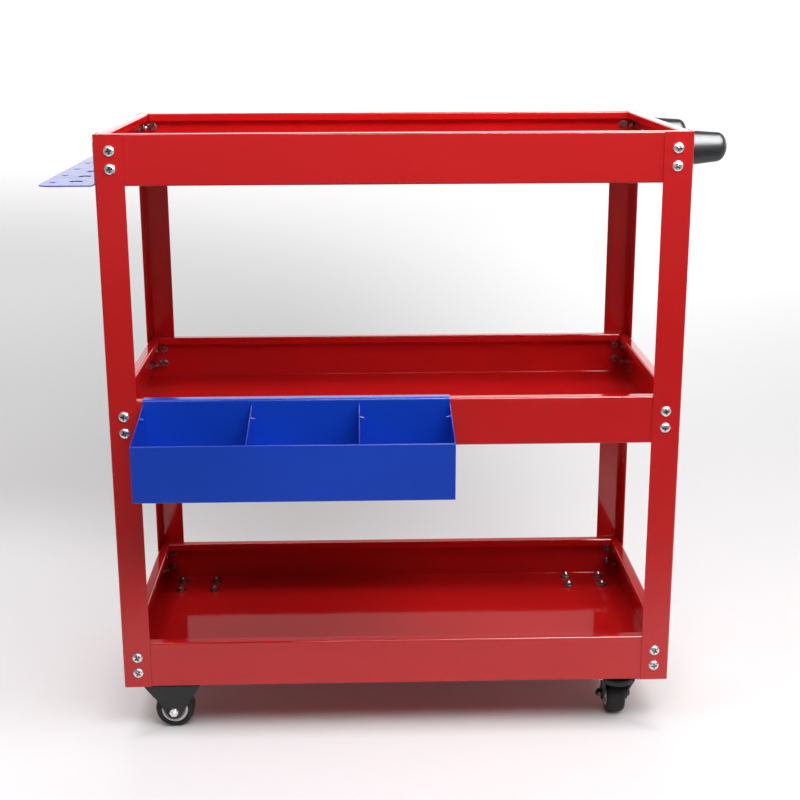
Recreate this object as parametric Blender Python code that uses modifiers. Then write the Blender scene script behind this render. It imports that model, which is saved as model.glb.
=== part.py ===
"""Three-tray steel tool cart, with a hang-on bin, a tool rack, a side handle and four casters.

Metres, +Z up. +X points to the handle end, which has the swivel casters, and +Y to the back.
The origin is on the floor, under the middle of the cart's whole box.
"""

import math

import bmesh
import bpy
from mathutils import Matrix, Vector

MM = 0.001
GAP = 0.3 * MM                   # clearance that touching pieces keep
MERGE = 0.01 * MM

# Frame: four angle posts and three equal trays
BODY_LENGTH = 700 * MM
BODY_DEPTH = 364 * MM
BODY_BASE = 70 * MM              # underside of the lowest tray, above the floor
POST_HEIGHT = 700 * MM
POST_FLANGE = 35 * MM
POST_SHEET = 1.5 * MM
TRAY_HEIGHT = 60 * MM
TRAY_PITCH = 320 * MM
TRAY_SHEET = 1.2 * MM
RIM_WIDTH = 13 * MM
RIM_LIP = 10 * MM

# Bin that hooks over the middle tray's front rim
BIN_LEFT = -308 * MM
BIN_RIGHT = 66 * MM
BIN_DIVIDERS = (-175.5 * MM, -45 * MM)
BIN_DEPTH = 110 * MM             # from the posts' front face to the bin's front panel
BIN_DROP = 32.5 * MM             # bin floor below the tray's underside
BIN_FRONT_HEIGHT = 69 * MM
BIN_HEM = 7.5 * MM
BIN_SHEET = 1.2 * MM
HOOK_LIP = 7 * MM

# Tool rack on the outer left side of the top tray
RACK_REACH = 68 * MM             # from the posts' outer face
RACK_FLANGE = 50 * MM
RACK_SHEET = 1.5 * MM
RACK_CORNER = 15 * MM
RACK_BEND = 2.5 * MM
RACK_OUTER_HOLE = (8 * MM, 75 * MM, 5, 55.5 * MM)      # diameter, pitch, number, reach
RACK_INNER_HOLE = (16 * MM, 56 * MM, 6, 29.5 * MM)

# Handle at the right end of the top tray
HANDLE_SPACING = 220 * MM        # between the two brackets
HANDLE_NOSE = 56 * MM            # bracket tip, from the posts' outer face
HANDLE_HEIGHT = 744 * MM         # bar's centre, above the floor
BRACKET_BASE_HEIGHT = 44.6 * MM
BRACKET_NOSE_HEIGHT = 33 * MM
BRACKET_FLATTEN = 0.74           # bracket's width over its height
BAR_RADIUS = 10 * MM
BAR_REACH = 38 * MM              # bar's centre, from the posts' outer face

# Casters
CASTER_X = 291 * MM
CASTER_Y = 146 * MM
WHEEL_RADIUS = 25 * MM
WHEEL_WIDTH = 25 * MM
HUB_RADIUS = 17 * MM
PLATE_SIZE = (74 * MM, 56 * MM)
PLATE_THICK = 2.5 * MM
PLATE_HOLES = (50 * MM, 34 * MM)
CHEEK_OFFSET = 15.75 * MM        # middle of a fork's cheek, from the wheel's middle
CHEEK_THICK = 2.5 * MM
SWIVEL_TRAIL = 18 * MM
CROWN_RADIUS = 23 * MM
AXLE_RADIUS = 3 * MM
BOLT_RADIUS = 3 * MM             # M6 caster bolts
HOLE_RADIUS = 3.7 * MM

# The whole box runs from the rack to the handle and from the bin to the back posts
LEFT_END = -(BODY_LENGTH / 2 + RACK_REACH)
RIGHT_END = BODY_LENGTH / 2 + HANDLE_NOSE
FRONT_END = -(BODY_DEPTH / 2 + BIN_DEPTH)
BACK_END = BODY_DEPTH / 2
CART_ORIGIN = (-(LEFT_END + RIGHT_END) / 2, -(FRONT_END + BACK_END) / 2, 0.0)

HALF_LENGTH = BODY_LENGTH / 2
HALF_DEPTH = BODY_DEPTH / 2
TRAY_NAMES = ("tray_bottom", "tray_middle", "tray_top")


# ---------------------------------------------------------------- scene and materials

def clear_scene():
    for obj in list(bpy.data.objects):
        bpy.data.objects.remove(obj, do_unlink=True)


def new_collection(name):
    collection = bpy.data.collections.new(name)
    bpy.context.scene.collection.children.link(collection)
    return collection


def new_material(name, colour, roughness, metallic=0.0):
    material = bpy.data.materials.new(name)
    material.use_nodes = True
    shader = material.node_tree.nodes["Principled BSDF"]
    shader.inputs["Base Color"].default_value = (*colour, 1.0)
    shader.inputs["Roughness"].default_value = roughness
    shader.inputs["Metallic"].default_value = metallic
    return material


def new_empty(name, parent, location=(0, 0, 0)):
    empty = bpy.data.objects.new(name, None)
    empty.empty_display_size = 0.03
    empty.parent = parent
    empty.location = location
    PARTS.objects.link(empty)
    return empty


def add_part(name, mesh, material, parent, location=(0, 0, 0), rotation=(0, 0, 0)):
    """Link a mesh as one named piece of the cart."""
    obj = bpy.data.objects.new(name, mesh)
    mesh.materials.clear()
    mesh.materials.append(material)
    obj.parent = parent
    obj.location = location
    obj.rotation_euler = rotation
    PARTS.objects.link(obj)
    return obj


def shade_round(mesh, angle=35):
    mesh.shade_smooth()
    mesh.set_sharp_from_angle(angle=math.radians(angle))


# ---------------------------------------------------------------- shapes

def rounded_path(points, radius, steps=2):
    """A path with each inner corner replaced by an arc."""
    path = [Vector(points[0])]
    for before, corner, after in zip(points, points[1:], points[2:]):
        corner = Vector(corner)
        back = (Vector(before) - corner).normalized()
        ahead = (Vector(after) - corner).normalized()
        reach = radius / math.tan(back.angle(ahead) / 2)
        centre = corner + (back + ahead).normalized() * math.hypot(reach, radius)
        start = corner + back * reach - centre
        turn = -start.angle_signed(corner + ahead * reach - centre)
        for step in range(steps + 1):
            path.append(centre + Matrix.Rotation(turn * step / steps, 2) @ start)
    path.append(Vector(points[-1]))
    return path


def rounded_outline(points, radii, steps=3):
    """A closed outline whose corners are arcs; a radius of 0 keeps the corner."""
    outline = []
    count = len(points)
    for index, radius in enumerate(radii):
        corner = Vector(points[index])
        if radius == 0:
            outline.append(corner)
            continue
        before = Vector(points[index - 1])
        after = Vector(points[(index + 1) % count])
        outline.extend(rounded_path([before, corner, after], radius, steps)[1:-1])
    return outline


def outline_mesh(name, loops, thickness):
    """A flat plate in the XY plane, centred on z = 0: the first loop, with the others as holes.

    The curve is drawn in millimetres, because a curve's filling loses detail at small sizes.
    """
    curve = bpy.data.curves.new(name, "CURVE")
    curve.dimensions = "2D"
    curve.fill_mode = "BOTH"
    curve.extrude = thickness / 2 / MM
    for loop in loops:
        spline = curve.splines.new("POLY")
        spline.points.add(len(loop) - 1)
        for point, place in zip(spline.points, loop):
            point.co = (place[0] / MM, place[1] / MM, 0, 1)
        spline.use_cyclic_u = True
    guide = bpy.data.objects.new(name, curve)
    bpy.context.scene.collection.objects.link(guide)
    evaluated = guide.evaluated_get(bpy.context.evaluated_depsgraph_get())
    mesh = bpy.data.meshes.new_from_object(evaluated)
    bpy.data.objects.remove(guide)
    bpy.data.curves.remove(curve)
    mesh.transform(Matrix.Scale(MM, 4))
    weld(mesh)
    mesh.name = name
    return mesh


def weld(mesh):
    bm = bmesh.new()
    bm.from_mesh(mesh)
    bmesh.ops.remove_doubles(bm, verts=bm.verts, dist=MERGE)
    bmesh.ops.recalc_face_normals(bm, faces=bm.faces)
    bm.to_mesh(mesh)
    bm.free()


def circle(radius, count, centre=(0, 0)):
    turn = 2 * math.pi / count
    return [Vector((centre[0] + radius * math.cos((i + 0.5) * turn),
                    centre[1] + radius * math.sin((i + 0.5) * turn))) for i in range(count)]


def folded_sheet(name, path, length):
    """A sheet bent along a path in the YZ plane and extruded along X, as an open surface."""
    bm = bmesh.new()
    corners = [bm.verts.new((-length / 2, y, z)) for y, z in path]
    edges = [bm.edges.new(pair) for pair in zip(corners, corners[1:])]
    swept = bmesh.ops.extrude_edge_only(bm, edges=edges)
    moved = [item for item in swept["geom"] if isinstance(item, bmesh.types.BMVert)]
    bmesh.ops.translate(bm, verts=moved, vec=(length, 0, 0))
    mesh = bpy.data.meshes.new(name)
    bm.to_mesh(mesh)
    bm.free()
    return mesh


def add_solidify(obj, thickness, offset):
    solidify = obj.modifiers.new("sheet", "SOLIDIFY")
    solidify.thickness = thickness
    solidify.offset = offset
    solidify.use_even_offset = True


def turned(obj, steps):
    screw = obj.modifiers.new("turn", "SCREW")
    screw.axis = "Z"
    screw.steps = steps
    screw.render_steps = steps
    screw.use_merge_vertices = True
    screw.merge_threshold = MERGE
    screw.use_smooth_shade = True


def profile_mesh(name, profile, closed=False):
    """A chain of edges in the XZ plane, from (radius, height) points, for a Screw modifier."""
    mesh = bpy.data.meshes.new(name)
    edges = [(i, i + 1) for i in range(len(profile) - 1)]
    if closed:
        edges.append((len(profile) - 1, 0))
    mesh.from_pydata([(radius, 0, height) for radius, height in profile], edges, [])
    return mesh


def add_turned(name, profile, steps, material, parent, location=(0, 0, 0), rotation=(0, 0, 0),
               closed=False):
    mesh = profile_mesh(name, profile, closed)
    obj = add_part(name, mesh, material, parent, location, rotation)
    turned(obj, steps)
    return obj


def add_cutter(name, radius, depth, parent, location, rotation=(0, 0, 0), vertices=12):
    """A cylinder in the cutters' collection, turned half a facet so that it lies square."""
    bm = bmesh.new()
    half_facet = Matrix.Rotation(math.pi / vertices, 4, "Z")
    bmesh.ops.create_cone(bm, cap_ends=True, segments=vertices, radius1=radius,
                          radius2=radius, depth=depth, matrix=half_facet)
    mesh = bpy.data.meshes.new(name)
    bm.to_mesh(mesh)
    bm.free()
    return hide_cutter(bpy.data.objects.new(name, mesh), parent, location, rotation)


def hide_cutter(obj, parent, location=(0, 0, 0), rotation=(0, 0, 0)):
    obj.parent = parent
    obj.location = location
    obj.rotation_euler = rotation
    obj.hide_render = True
    obj.display_type = "WIRE"
    CUTTERS.objects.link(obj)
    return obj


def boolean(obj, tool, operation="DIFFERENCE"):
    modifier = obj.modifiers.new(tool.name, "BOOLEAN")
    modifier.operation = operation
    modifier.object = tool
    modifier.solver = "EXACT"


# ---------------------------------------------------------------- frame

def add_posts():
    """Angle posts that wrap the trays' corners from outside."""
    flange = POST_FLANGE
    sheet = POST_SHEET
    outer = [(0, 0), (flange, 0), (flange, sheet), (sheet, sheet), (sheet, flange), (0, flange)]
    radii = (2.4 * MM, 0, 0, 0.9 * MM, 0, 0)
    section = rounded_outline(outer, radii)
    for depth_name, depth_sign in (("front", 1), ("back", -1)):
        for side_name, side_sign in (("left", 1), ("right", -1)):
            name = f"post_{depth_name}_{side_name}"
            mesh = outline_mesh(name, [section], POST_HEIGHT)
            mirror = Matrix.Diagonal((side_sign, depth_sign, 1, 1))
            mesh.transform(mirror)
            if side_sign * depth_sign < 0:
                mesh.flip_normals()
            shade_round(mesh)
            place = (-side_sign * HALF_LENGTH, -depth_sign * HALF_DEPTH, BODY_BASE + POST_HEIGHT / 2)
            add_part(name, mesh, RED, CART, place)


def tray_mesh(name, half_length, half_depth):
    """Pan with a hemmed rim: its floor is extruded up, in over the rim and down the lip."""
    top_in = Vector((RIM_WIDTH, TRAY_HEIGHT))
    wall = [Vector((8 * MM, 0)), Vector((0, 0)), Vector((0, TRAY_HEIGHT)), top_in,
            top_in - Vector((0, RIM_LIP))]
    steps = rounded_path(wall, 2 * MM)
    bm = bmesh.new()
    bmesh.ops.create_grid(bm, x_segments=1, y_segments=1, size=1.0)
    floor = list(bm.verts)
    ring_scale(bm, floor, half_length, half_depth, steps[0])
    border = list(bm.edges)
    for inset_height in steps[1:]:
        swept = bmesh.ops.extrude_edge_only(bm, edges=border)
        ring = [item for item in swept["geom"] if isinstance(item, bmesh.types.BMVert)]
        border = [item for item in swept["geom"] if isinstance(item, bmesh.types.BMEdge)
                  and all(vert in ring for vert in item.verts)]
        ring_scale(bm, ring, half_length, half_depth, inset_height)
    mesh = bpy.data.meshes.new(name)
    bmesh.ops.recalc_face_normals(bm, faces=bm.faces)
    bm.to_mesh(mesh)
    bm.free()
    return mesh


def ring_scale(bm, verts, half_length, half_depth, inset_height):
    """Send a rectangle's four corners to the given inset and height."""
    inset, height = inset_height
    for vert in verts:
        vert.co.x = math.copysign(half_length - inset, vert.co.x)
        vert.co.y = math.copysign(half_depth - inset, vert.co.y)
        vert.co.z = height


def add_trays():
    inside = POST_SHEET + GAP
    for level, name in enumerate(TRAY_NAMES):
        mesh = tray_mesh(name, HALF_LENGTH - inside, HALF_DEPTH - inside)
        base = BODY_BASE + level * TRAY_PITCH
        tray = add_part(name, mesh, RED, CART, (0, 0, base))
        add_solidify(tray, TRAY_SHEET, -1.0)
        if level == 0:
            for number, (x, y) in enumerate(caster_bolt_places(), start=1):
                hole = add_cutter(f"cut_floor_{number}", HOLE_RADIUS, 12 * MM, CART,
                                  (x, y, base), vertices=8)
                boolean(tray, hole)


# ---------------------------------------------------------------- bin, rack and handle

def add_bin():
    """Open bin: one folded shell with its hook, two ends and two dividers."""
    rim_top = BODY_BASE + TRAY_PITCH + TRAY_HEIGHT + GAP
    floor = BODY_BASE + TRAY_PITCH - BIN_DROP
    back = -HALF_DEPTH + POST_SHEET
    front = -HALF_DEPTH - BIN_DEPTH
    hook = back + RIM_WIDTH + 2 * GAP
    front_top = floor + BIN_FRONT_HEIGHT
    hem_back = front + 3 * MM
    corners = [(hook, rim_top - HOOK_LIP), (hook, rim_top), (back, rim_top), (back, floor),
               (front, floor), (front, front_top), (hem_back, front_top),
               (hem_back, front_top - BIN_HEM)]
    path = rounded_path([Vector(corner) for corner in corners], 1.45 * MM)
    length = BIN_RIGHT - BIN_LEFT
    middle = (BIN_LEFT + BIN_RIGHT) / 2
    shell = add_part("bin_shell", folded_sheet("bin_shell", path, length), BLUE, BIN, (middle, 0, 0))
    add_solidify(shell, BIN_SHEET, -1.0)

    panel_back = back - BIN_SHEET - GAP
    panel_front = front + BIN_SHEET + GAP
    hem_clear = hem_back + GAP
    bottom = floor + BIN_SHEET + GAP
    hem_low = front_top - BIN_HEM - GAP
    panel = [(panel_back, bottom), (panel_back, rim_top - 4 * MM), (hem_clear, front_top),
             (hem_clear, hem_low), (panel_front, hem_low), (panel_front, bottom)]
    inner_left = BIN_LEFT + BIN_SHEET / 2
    inner_right = BIN_RIGHT - BIN_SHEET / 2
    places = {"bin_end_left": inner_left, "bin_divider_left": BIN_DIVIDERS[0],
              "bin_divider_right": BIN_DIVIDERS[1], "bin_end_right": inner_right}
    for name, x in places.items():
        mesh = outline_mesh(name, [[Vector(point) for point in panel]], BIN_SHEET)
        # the outline's (x, y) become the cart's (y, z)
        mesh.transform(Matrix(((0, 0, 1, 0), (1, 0, 0, 0), (0, 1, 0, 0), (0, 0, 0, 1))))
        add_part(name, mesh, BLUE, BIN, (x, 0, 0))


def rack_hole_loops():
    """The rack's holes, as circles in the cart's own XY."""
    loops = []
    for diameter, pitch, number, reach in (RACK_OUTER_HOLE, RACK_INNER_HOLE):
        sides = 12 if diameter > 10 * MM else 8
        for index in range(number):
            y = (index - (number - 1) / 2) * pitch
            loops.append(circle(diameter / 2, sides, (-HALF_LENGTH - reach, y)))
    return loops


def add_rack():
    """Bent angle plate: a flange against the posts and a shelf with two rows of tool holes.

    A tall block with the shelf's outline and holes trims the bent sheet to its final shape.
    """
    bottom = BODY_BASE + 2 * TRAY_PITCH
    spare = 5 * MM
    wall = HALF_LENGTH + GAP
    reach = HALF_LENGTH + RACK_REACH
    path = rounded_path([(wall, bottom + RACK_FLANGE), (wall, bottom), (reach + spare, bottom)],
                        RACK_BEND)
    sheet = folded_sheet("tool_rack", path, BODY_DEPTH + 2 * spare)
    # a quarter turn sends the sheet's +Y to the cart's -X
    rack = add_part("tool_rack", sheet, BLUE, CART, rotation=(0, 0, math.pi / 2))
    add_solidify(rack, RACK_SHEET, 1.0)

    inner = -HALF_LENGTH + spare
    corners = [(-reach, -HALF_DEPTH), (inner, -HALF_DEPTH), (inner, HALF_DEPTH), (-reach, HALF_DEPTH)]
    outline = rounded_outline(corners, (RACK_CORNER, 0, 0, RACK_CORNER), steps=5)
    trim = outline_mesh("rack_trim", [outline] + rack_hole_loops(), 3 * RACK_FLANGE)
    trim = hide_cutter(bpy.data.objects.new("rack_trim", trim), CART, (0, 0, bottom))
    boolean(rack, trim, "INTERSECT")


def bracket_profile():
    """Half of the bracket's side view, as (half height, reach) from the nose to the base."""
    nose = BRACKET_NOSE_HEIGHT / 2
    centre = HANDLE_NOSE - nose
    arc = [(nose * math.sin(math.radians(a)), centre + nose * math.cos(math.radians(a)))
           for a in (0, 18, 36, 54, 72, 90)]
    base = -POST_SHEET
    return arc + [(BRACKET_BASE_HEIGHT / 2, base), (0, base)]


def add_handle():
    """Bar held between two moulded brackets that stand out from the top tray's end wall."""
    bar_x = HALF_LENGTH + BAR_REACH
    socket = 11 * MM
    for name, sign in (("front", -1), ("back", 1)):
        y = sign * HANDLE_SPACING / 2
        bracket = add_turned(f"handle_bracket_{name}", bracket_profile(), 20, BLACK_PLASTIC, CART,
                             (HALF_LENGTH, y, HANDLE_HEIGHT), (0, math.pi / 2, 0))
        bracket.scale = (1, BRACKET_FLATTEN, 1)
        cutter = add_cutter(f"cut_socket_{name}", BAR_RADIUS + GAP, 2 * socket, CART,
                            (bar_x, y - sign * socket, HANDLE_HEIGHT), (math.pi / 2, 0, 0), 16)
        boolean(bracket, cutter)
    half = HANDLE_SPACING / 2 - GAP
    bar = [(0, half), (BAR_RADIUS - 1 * MM, half), (BAR_RADIUS, half - 1 * MM),
           (BAR_RADIUS, 1 * MM - half), (BAR_RADIUS - 1 * MM, -half), (0, -half)]
    add_turned("handle_bar", bar, 16, BLACK_STEEL, CART, (bar_x, 0, HANDLE_HEIGHT),
               (math.pi / 2, 0, 0))


# ---------------------------------------------------------------- casters

def caster_bolt_places():
    """Where the caster bolts pass the lowest tray's floor, in the cart's own XY."""
    places = []
    for x in (-CASTER_X, CASTER_X):
        for y in (-CASTER_Y, CASTER_Y):
            for dx in (-PLATE_HOLES[0] / 2, PLATE_HOLES[0] / 2):
                for dy in (-PLATE_HOLES[1] / 2, PLATE_HOLES[1] / 2):
                    places.append((x + dx, y + dy))
    return places


def add_caster_bolts():
    """Hex bolts, each with its nut: head under the caster plate, nut on the tray's floor."""
    plate_under = BODY_BASE - GAP - PLATE_THICK
    floor_top = BODY_BASE + TRAY_SHEET
    head_low = plate_under - GAP - 4 * MM
    nut_low = floor_top + GAP
    hexagon = 5.7 * MM
    profile = [(0, nut_low + 8 * MM), (BOLT_RADIUS, nut_low + 8 * MM), (BOLT_RADIUS, nut_low + 5 * MM),
               (hexagon, nut_low + 5 * MM), (hexagon, nut_low), (BOLT_RADIUS, nut_low),
               (BOLT_RADIUS, plate_under - GAP), (hexagon, plate_under - GAP),
               (hexagon, head_low), (0, head_low)]
    names = [f"{kind}_{end}_bolt_{number}" for kind in ("fixed", "swivel")
             for end in ("front", "back") for number in (1, 2, 3, 4)]
    for name, (x, y) in zip(names, caster_bolt_places()):
        add_turned(name, profile, 6, ZINC, CART, (x, y, 0))


def plate_loops():
    """Outline and four bolt holes of a caster's top plate."""
    length, width = PLATE_SIZE
    corners = [(-length / 2, -width / 2), (length / 2, -width / 2), (length / 2, width / 2),
               (-length / 2, width / 2)]
    loops = [rounded_outline(corners, (4 * MM,) * 4)]
    for dx in (-PLATE_HOLES[0] / 2, PLATE_HOLES[0] / 2):
        for dy in (-PLATE_HOLES[1] / 2, PLATE_HOLES[1] / 2):
            loops.append(circle(HOLE_RADIUS, 8, (dx, dy)))
    return loops


def cheek_outline(top_left, top_right, top, axle, end_radius, arc_steps=6):
    """A fork cheek seen from the side: a level top edge that narrows to an arc round the axle."""
    outline = [Vector((top_left, top)), Vector((top_right, top))]
    right = tangent_angle(Vector((top_right, top)) - axle, end_radius, 1)
    left = tangent_angle(Vector((top_left, top)) - axle, end_radius, -1)
    left -= 2 * math.pi
    for step in range(arc_steps + 1):
        angle = right + (left - right) * step / arc_steps
        outline.append(axle + end_radius * Vector((math.cos(angle), math.sin(angle))))
    return outline


def tangent_angle(point, radius, side):
    """Angle at which a line from the point touches a circle round the origin."""
    return math.atan2(point.y, point.x) - side * math.acos(radius / point.length)


def add_cheek(name, outline, axle, low, lean, parent, place, turn=0.0):
    """A fork's side as a Boolean tool: upright in the XZ plane, leaning in +Y above the low level."""
    mesh = outline_mesh(name, [outline, circle(AXLE_RADIUS + GAP, 12, axle)], CHEEK_THICK)
    split_level(mesh, low)
    mesh.transform(Matrix.Rotation(math.pi / 2, 4, "X"))
    top = outline[0].y
    for vert in mesh.vertices:
        vert.co.y += lean * max(0.0, vert.co.z - low) / (top - low)
    return hide_cutter(bpy.data.objects.new(name, mesh), parent, place, (0, 0, turn))


def split_level(mesh, level):
    """Cut a flat plate's faces along one level of its Y, so that it can bend there."""
    bm = bmesh.new()
    bm.from_mesh(mesh)
    everything = list(bm.verts) + list(bm.edges) + list(bm.faces)
    bmesh.ops.bisect_plane(bm, geom=everything, plane_co=(0, level, 0), plane_no=(0, 1, 0))
    bmesh.ops.triangulate(bm, faces=bm.faces)
    bm.to_mesh(mesh)
    bm.free()


def wheel_profiles():
    """Closed half sections of the tyre and the hub, as (radius, place along the axle)."""
    half = WHEEL_WIDTH / 2
    bore = AXLE_RADIUS + 0.3 * MM
    tyre = [(WHEEL_RADIUS, 8.5 * MM), (WHEEL_RADIUS, -8.5 * MM),
            (WHEEL_RADIUS - 1.2 * MM, -11.3 * MM), (WHEEL_RADIUS - 4.5 * MM, -half),
            (HUB_RADIUS + GAP, -half + 0.8 * MM), (HUB_RADIUS + GAP, half - 0.8 * MM),
            (WHEEL_RADIUS - 4.5 * MM, half), (WHEEL_RADIUS - 1.2 * MM, 11.3 * MM)]
    hub = [(HUB_RADIUS, 11.2 * MM), (HUB_RADIUS, -11.2 * MM), (13.6 * MM, -11.2 * MM),
           (12.8 * MM, -5 * MM), (7 * MM, -5 * MM), (6.4 * MM, -13.7 * MM),
           (bore, -13.7 * MM), (bore, 13.7 * MM), (6.4 * MM, 13.7 * MM), (7 * MM, 5 * MM),
           (12.8 * MM, 5 * MM), (13.6 * MM, 11.2 * MM)]
    return tyre, hub


def add_wheel(prefix, axle, turn):
    """Tyre, hub and axle bolt on a wheel's own empty; local +Z runs along the axle to its nut."""
    tyre, hub = wheel_profiles()
    add_turned(f"{prefix}_tyre", tyre, 36, TYRE, axle, rotation=turn, closed=True)
    add_turned(f"{prefix}_hub", hub, 24, HUB_GREY, axle, rotation=turn, closed=True)


def add_axle(prefix, parent, place, turn):
    """Axle bolt with a domed head at local -Z, and its nut at local +Z."""
    face = CHEEK_OFFSET + CHEEK_THICK / 2 + GAP
    bolt = [(0, face + 7 * MM), (AXLE_RADIUS, face + 7 * MM), (AXLE_RADIUS, -face),
            (5.6 * MM, -face), (5.2 * MM, -face - 2.6 * MM), (3.4 * MM, -face - 4 * MM),
            (0, -face - 4.4 * MM)]
    add_turned(f"{prefix}_axle", bolt, 12, ZINC, parent, place, turn)
    bore = AXLE_RADIUS + 0.9 * MM
    nut = [(6 * MM, face + 5 * MM), (6 * MM, face), (bore, face), (bore, face + 5 * MM)]
    add_turned(f"{prefix}_nut", nut, 6, ZINC, parent, place, turn, closed=True)


def add_fixed_caster(name, y, outward):
    """Rigid caster whose wheel rolls along X: its rig is a plate with two cheeks."""
    prefix = f"fixed_{name}"
    mount = new_empty(f"{prefix}_mount", CART, (-CASTER_X, y, BODY_BASE - GAP))
    axle_drop = WHEEL_RADIUS - (BODY_BASE - GAP)
    axle = Vector((0, axle_drop))
    rig = add_part(f"{prefix}_rig", outline_mesh(f"{prefix}_rig", plate_loops(), PLATE_THICK),
                   BLACK_STEEL, mount, (0, 0, -PLATE_THICK / 2))
    outline = cheek_outline(-35 * MM, 35 * MM, -PLATE_THICK / 2, axle, 10.5 * MM)
    lean = PLATE_SIZE[1] / 2 - CHEEK_THICK / 2 - GAP - CHEEK_OFFSET
    for side, edge in ((-1, "near"), (1, "far")):
        cheek = add_cheek(f"{prefix}_cheek_{edge}", outline, axle, axle_drop + 12 * MM, side * lean,
                          mount, (0, side * CHEEK_OFFSET, 0))
        boolean(rig, cheek, "UNION")
    turn = (-outward * math.pi / 2, 0, 0)
    centre = (0, 0, axle_drop)
    wheel = new_empty(f"{prefix}_wheel_axis", mount, centre)
    add_wheel(prefix, wheel, turn)
    add_axle(prefix, mount, centre, turn)


def add_swivel_caster(name, y):
    """Swivel caster: a fixed plate and kingpin, and a fork that trails towards the back."""
    prefix = f"swivel_{name}"
    mount = new_empty(f"{prefix}_mount", CART, (CASTER_X, y, BODY_BASE - GAP))
    pin_radius = 4.7 * MM
    loops = plate_loops()
    loops.append(circle(pin_radius + 2 * GAP, 12))
    plate = outline_mesh(f"{prefix}_plate", loops, PLATE_THICK)
    add_part(f"{prefix}_plate", plate, BLACK_STEEL, mount, (0, 0, -PLATE_THICK / 2))

    race_top = -PLATE_THICK - GAP
    race = [(19 * MM, race_top), (20.5 * MM, race_top - 1.5 * MM), (20.5 * MM, race_top - 3.2 * MM),
            (19 * MM, race_top - 4.7 * MM), (9 * MM, race_top - 4.7 * MM), (9 * MM, race_top)]
    add_turned(f"{prefix}_ball_race", race, 20, ZINC, mount, closed=True)

    crown_top = race_top - 4.7 * MM - GAP
    sheet = CHEEK_THICK
    kingpin = [(0, -GAP), (pin_radius, -GAP), (pin_radius, crown_top - sheet - GAP),
               (8 * MM, crown_top - sheet - GAP), (7 * MM, crown_top - sheet - 3 * MM),
               (0, crown_top - sheet - 3.5 * MM)]
    add_turned(f"{prefix}_kingpin", kingpin, 12, ZINC, mount)

    fork_axis = new_empty(f"{prefix}_swivel_axis", mount)
    add_swivel_fork(prefix, fork_axis, crown_top, pin_radius + 2 * GAP)
    axle_drop = WHEEL_RADIUS - (BODY_BASE - GAP)
    centre = (0, SWIVEL_TRAIL, axle_drop)
    turn = (0, -math.pi / 2, 0)
    wheel = new_empty(f"{prefix}_wheel_axis", fork_axis, centre)
    add_wheel(prefix, wheel, turn)
    add_axle(prefix, fork_axis, centre, turn)


def add_swivel_fork(prefix, parent, top, bore):
    """Round crown over two cheeks that lean in from its rim to the wheel."""
    sheet = CHEEK_THICK
    crown = [(CROWN_RADIUS - 2 * MM, top), (CROWN_RADIUS, top - 2 * MM), (CROWN_RADIUS, top - 8 * MM),
             (CROWN_RADIUS - sheet, top - 8 * MM), (CROWN_RADIUS - sheet, top - sheet - 0.5 * MM),
             (CROWN_RADIUS - sheet - 0.5 * MM, top - sheet), (bore, top - sheet), (bore, top)]
    fork = add_turned(f"{prefix}_fork", crown, 24, BLACK_STEEL, parent, closed=True)
    axle_drop = WHEEL_RADIUS - (BODY_BASE - GAP)
    axle = Vector((SWIVEL_TRAIL, axle_drop))
    cheek_top = top - 3 * MM
    outline = cheek_outline(-11 * MM, 15 * MM, cheek_top, axle, 9 * MM)
    lean = 4 * MM
    for side, edge in ((-1, "left"), (1, "right")):
        cheek = add_cheek(f"{prefix}_cheek_{edge}", outline, axle, axle_drop + 13 * MM, -side * lean,
                          parent, (side * CHEEK_OFFSET, 0, 0), math.pi / 2)
        boolean(fork, cheek, "UNION")


def add_casters():
    add_fixed_caster("front", -CASTER_Y, -1)
    add_fixed_caster("back", CASTER_Y, 1)
    add_swivel_caster("front", -CASTER_Y)
    add_swivel_caster("back", CASTER_Y)
    add_caster_bolts()


# ---------------------------------------------------------------- build

clear_scene()
PARTS = new_collection("tool_cart")
CUTTERS = new_collection("cutters")

RED = new_material("red_paint", (0.56, 0.012, 0.013), 0.25)
BLUE = new_material("blue_paint", (0.009, 0.050, 0.40), 0.35)
BLACK_PLASTIC = new_material("black_plastic", (0.012, 0.012, 0.013), 0.30)
BLACK_STEEL = new_material("black_steel", (0.018, 0.019, 0.020), 0.42)
ZINC = new_material("zinc", (0.66, 0.67, 0.68), 0.22, 1.0)
TYRE = new_material("tyre_rubber", (0.011, 0.011, 0.011), 0.62)
HUB_GREY = new_material("grey_plastic", (0.42, 0.42, 0.41), 0.45)

CART = new_empty("cart", None, CART_ORIGIN)
BIN = new_empty("bin_lift", CART)

add_posts()
add_trays()
add_bin()
add_rack()
add_handle()
add_casters()
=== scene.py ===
"""Looks of the three-tray tool cart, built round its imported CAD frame.

Metres, in the CAD's own frame: +X is the handle end, +Y the back, +Z up.
Pressed and painted sheet is rebuilt with its bends, hems and edge radii, and every fastener is
modelled. Sizes come from the CAD nodes' boxes and the few values named below.
"""

import math
import random

import bmesh
import bpy
from mathutils import Matrix, Vector


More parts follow.
